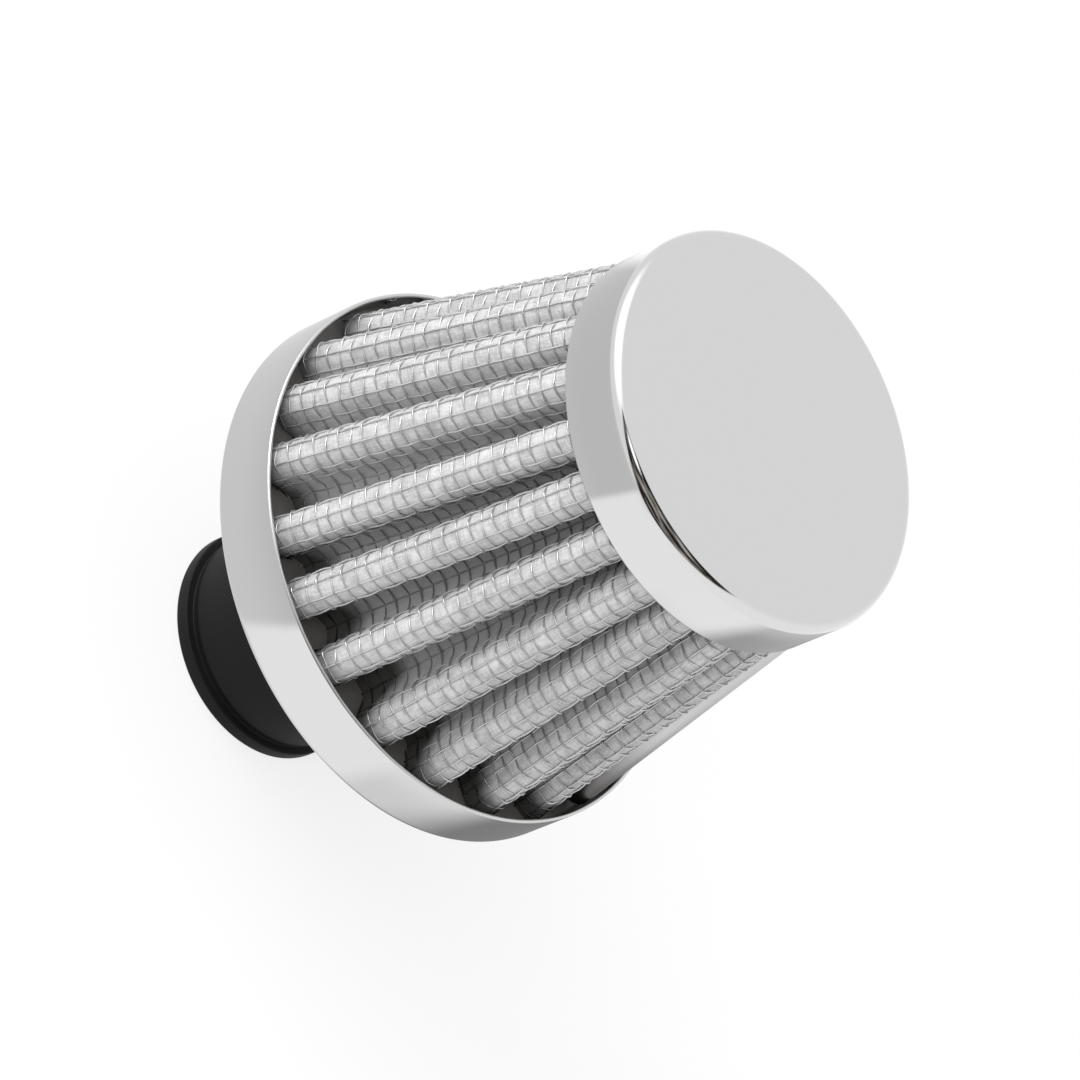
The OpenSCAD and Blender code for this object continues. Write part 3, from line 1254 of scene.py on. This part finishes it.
@dataclass
class Studio:
    """Floor, light tent, lamps and camera of a plain product picture.

    The floor and the room are white to the camera. What lights the filter, and what the
    chrome shows, is a tent: white walls, one large softbox at the left, a small spot in
    front, the filter's own shade on the floor beside a white card, and an open front with
    the dark room behind it. Soft edges part these directions as the filter's cap sees them.
    """

    lens: float = 233.33
    film: float = 36.0
    camera_place: Triple = (0.0, -484.64 * MM, 446.54 * MM)
    aim: Triple = (1.094 * MM, 0.0, 36.50 * MM)
    roll: float = -66.66

    box: Lamp = Lamp("softbox", Edge((-0.852, -0.181, 0.491), 0.4, 0.2), (0.52, 0.40), 3.1)
    box_along: Triple = (-0.208, 0.978, 0.0)
    box_up: Triple = (0.480, 0.102, 0.871)
    box_rise: float = 0.2
    box_rim: tuple[float, float] = (1.45, 0.5)
    box_level: float = 2.2
    core_rim: tuple[float, float] = (0.75, 0.45)
    core_level: float = 8.0
    spot: Lamp = Lamp("spot", Edge((-0.226, -0.787, 0.574), 0.988, 0.010), (0.25, 0.25), 2.0)
    spot_level: float = 1.8

    right_wall: Edge = Edge((1.0, 0.0, -0.5), 0.45, 0.35)
    right_level: float = 1.12
    back_wall: Edge = Edge((0.0, 1.0, -1.0), 1.05, 0.20)
    back_level: float = 1.2
    front: tuple[Edge, ...] = (Edge((0.779, -0.338, 0.528), 0.07), Edge((-0.530, -0.591, 0.609), 0.05),
                               Edge((0.430, -0.655, -0.621), -0.17))
    room_dark: str = "2A2521"
    room_light: str = "F4EFE8"
    room_pattern: tuple[float, float] = (3.2, 0.6)
    room_range: tuple[float, float] = (0.47, 0.78)

    ground: tuple[Edge, ...] = (Edge((0.0, 0.0, -1.0), 0.50), Edge((0.35, -1.0, -1.33), 0.0, 0.06))
    ahead: Edge = Edge((0.628, -1.0, 0.726), -0.11, 0.17)
    right: Edge = Edge((1.0, 0.24, -0.31), 0.0, 0.03)
    beside: tuple[Edge, ...] = (Edge((1.0, 0.0, 0.58), -0.20, 0.08), Edge((0.0, 0.0, -1.0), 0.585))
    under: Edge = Edge((0.0, 0.0, -1.0), 0.70, 0.08)
    card_far: Edge = Edge((0.37, 0.89, -0.22), 0.0, 0.06)
    grey: float = 0.72
    pale: float = 0.84
    card: float = 1.15
    dull: float = 0.90
    shade: float = 0.46
    deep: float = 0.28

    fill: float = 0.79
    eye: float = 62.0 * MM
    floor_half: float = 1.5
    floor_color: str = "F2F2F2"
    floor_glow: float = 0.75

    def build(self) -> None:
        """Sets the whole studio up."""
        bpy.context.scene.view_settings.view_transform = "Standard"
        self.camera()
        self.floor()
        self.world()
        self.box.hang()
        self.spot.hang()

    def camera(self) -> None:
        """Aims the camera at the filter, and turns it on its own axis as the picture is."""
        data = bpy.data.cameras.new("camera")
        data.lens = self.lens
        data.sensor_width = self.film
        camera = put_in_scene("camera", data)
        place, aim = Vector(self.camera_place), Vector(self.aim)
        look = (aim - place).to_track_quat("-Z", "Y").to_matrix()
        turn = Matrix.Rotation(math.radians(self.roll), 3, "Z")
        camera.matrix_world = Matrix.Translation(place) @ (look @ turn.inverted()).to_4x4()
        bpy.context.scene.camera = camera

    def walls(self, tree: Tree, way: Socket) -> Socket:
        """Gives the light of the tent's walls, the glow of its lamps and the open front.

        The softbox is brightest where the length of (across, up + rise) is least, where
        across and up are the direction's shares of the box's half width and height.

        Args:
            tree: the node tree.
            way: direction from the filter's cap, of length one.

        Returns:
            A socket with its colour, which may be brighter than white.
        """
        across, up = (add_node(tree, "VectorMath", {0: way, 1: tuple(x / reach for x in axis)},
                               operation="DOT_PRODUCT")["Value"]
                      for axis, reach in zip((self.box_along, self.box_up), self.box.reach))
        middle = add_node(tree, "CombineXYZ", {0: across, 1: up})[0]
        middle = add_node(tree, "VectorMath", {0: middle, 1: (0.0, self.box_rise, 0.0)},
                          operation="ADD")[0]
        away = add_node(tree, "VectorMath", {0: middle}, operation="LENGTH")["Value"]
        facing = self.box.glow.side(tree, way)
        level = layered(tree, Layer.LEVEL, 1.0, (self.right_wall.side(tree, way), self.right_level),
                        (self.back_wall.side(tree, way), self.back_level))
        for (end, full), glow in ((self.box_rim, self.box_level), (self.core_rim, self.core_level)):
            lit = add_node(tree, "MapRange", {"Value": away, "From Min": end, "From Max": full},
                           interpolation_type="SMOOTHSTEP")[0]
            level = layered(tree, Layer.LEVEL, level, (all_of(tree, lit, facing), glow))
        scale, rough = self.room_pattern
        clutter = add_node(tree, "TexNoise", {"Vector": way, "Scale": scale, "Detail": 4.0,
                                              "Roughness": rough})["Fac"]
        lit = add_node(tree, "MapRange", {"Value": clutter, "From Min": self.room_range[0],
                                          "From Max": self.room_range[1]})[0]
        room = layered(tree, Layer.COLOUR, linear(self.room_dark), (lit, linear(self.room_light)))
        front = all_of(tree, *(edge.side(tree, way) for edge in self.front))
        return layered(tree, Layer.COLOUR, level, (front, room),
                       (self.spot.glow.side(tree, way), (self.spot_level,) * 3 + (1.0,)))

    def tent(self, tree: Tree, way: Socket) -> Socket:
        """Gives the light that comes from a direction, of the walls or of the floor.

        The floor is grey and paler under the filter. A card lies ahead at the right, and
        the filter's shade falls behind.

        Args:
            tree: the node tree.
            way: direction from the filter's cap, of length one.

        Returns:
            A socket with its colour, which may be brighter than white.
        """
        ahead, right, under, far = (edge.side(tree, way)
                                    for edge in (self.ahead, self.right, self.under, self.card_far))
        beside, ground = (all_of(tree, *(edge.side(tree, way) for edge in edges))
                          for edges in (self.beside, self.ground))
        grey = layered(tree, Layer.LEVEL, self.grey, (under, self.pale))
        card = layered(tree, Layer.LEVEL, self.card, (all_of(tree, far, under), self.dull))
        shade = layered(tree, Layer.LEVEL, self.shade, (under, self.deep))
        lit = layered(tree, Layer.LEVEL, grey, (right, card))
        near = layered(tree, Layer.LEVEL, grey, (beside, shade), (ahead, lit))
        return layered(tree, Layer.COLOUR, self.walls(tree, way), (ground, near))

    def floor(self) -> None:
        """Lays the pale floor: white to the camera, and it keeps a soft shadow."""
        corners = np.array([[-1, -1, 0], [1, -1, 0], [1, 1, 0], [-1, 1, 0]]) * self.floor_half
        mesh = build_mesh("floor", corners, [np.array([[0, 1, 2, 3]])])
        material = bpy.data.materials.new("white_floor")
        tree = cleared(material)
        path = add_node(tree, "LightPath")
        place = add_node(tree, "TexCoord")["Object"]
        way = add_node(tree, "VectorMath", {0: place, 1: (0.0, 0.0, -self.eye)}, operation="ADD")[0]
        way = add_node(tree, "VectorMath", {0: way}, operation="NORMALIZE")[0]
        shown = layered(tree, Layer.COLOUR, linear("FFFFFF"),
                        (path["Is Glossy Ray"], self.tent(tree, way)))
        share = add_node(tree, "Math", {0: path["Is Camera Ray"], 1: self.floor_glow,
                                        2: path["Is Glossy Ray"]}, operation="MULTIPLY_ADD")[0]
        share = add_node(tree, "Math", {0: share, 1: path["Is Transmission Ray"]}, operation="MAXIMUM")[0]
        plain = add_node(tree, "BsdfDiffuse", {"Color": linear(self.floor_color)})[0]
        light = add_node(tree, "Emission", {"Color": shown})[0]
        both = add_node(tree, "MixShader", {0: share, 1: plain, 2: light})[0]
        add_node(tree, "OutputMaterial", {"Surface": both})
        mesh.materials.append(material)
        put_in_scene("floor", mesh)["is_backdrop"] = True

    def world(self) -> None:
        """Surrounds the filter with the tent, which is plain white to the camera."""
        world = bpy.data.worlds.new("studio")
        bpy.context.scene.world = world
        tree = cleared(world)
        path = add_node(tree, "LightPath")
        way = add_node(tree, "TexCoord")["Generated"]
        plain = add_node(tree, "Math", {0: path["Is Diffuse Ray"], 1: path["Is Camera Ray"]},
                         operation="ADD")[0]
        shown = layered(tree, Layer.COLOUR, self.tent(tree, way), (plain, linear("FFFFFF")))
        strength = layered(tree, Layer.LEVEL, 1.0, (path["Is Diffuse Ray"], self.fill))
        light = add_node(tree, "Background", {"Color": shown, "Strength": strength})[0]
        add_node(tree, "OutputWorld", {"Surface": light})


def corners() -> list[list[float]]:
    """Lowest and highest corner of all that shows, as plain lists."""
    return [[float(x) for x in corner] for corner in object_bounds()]


def main() -> None:
    """Builds the filter in order: metal, pack, seals, neck, then the studio."""
    logging.basicConfig(level=logging.INFO, format="%(name)s %(message)s")
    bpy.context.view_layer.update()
    chrome = Chrome().build()
    cut = CutEdge().build()
    PressedCup("cap_shell", "end_cap", edge=1.2 * MM).build(chrome, cut)
    PressedCup("base_shell", "base_cup", edge=0.8 * MM, hole=10.45 * MM, upright=True).build(chrome, cut)
    strip = FoldedStrip()
    weft = DrawnWire("drawn_steel_wire", metal=0.75).build()
    warp = DrawnWire("drawn_aluminium_wire", metal=0.5).build()
    outer = WovenScreen(strip, "outer_screen", strip.wire)
    outer.build(weft, warp, "outer_screen")
    inner = WovenScreen(strip, "inner_screen", strip.thick - strip.wire, round_samples=2,
                        long_samples=1, sides=3, seed=4)
    inner.build(weft, warp, "inner_screen")
    GauzePleats(strip, outer).build(Gauze().build())
    SeamClip(strip).build(CrimpedStrip().build())
    seal = CastSeal().build()
    seals = Seals()
    seals.base(seal)
    seals.cap(seal)
    RubberNeck().build(MouldedRubber().build())
    Studio().build()


if __name__ == "__main__":
    main()
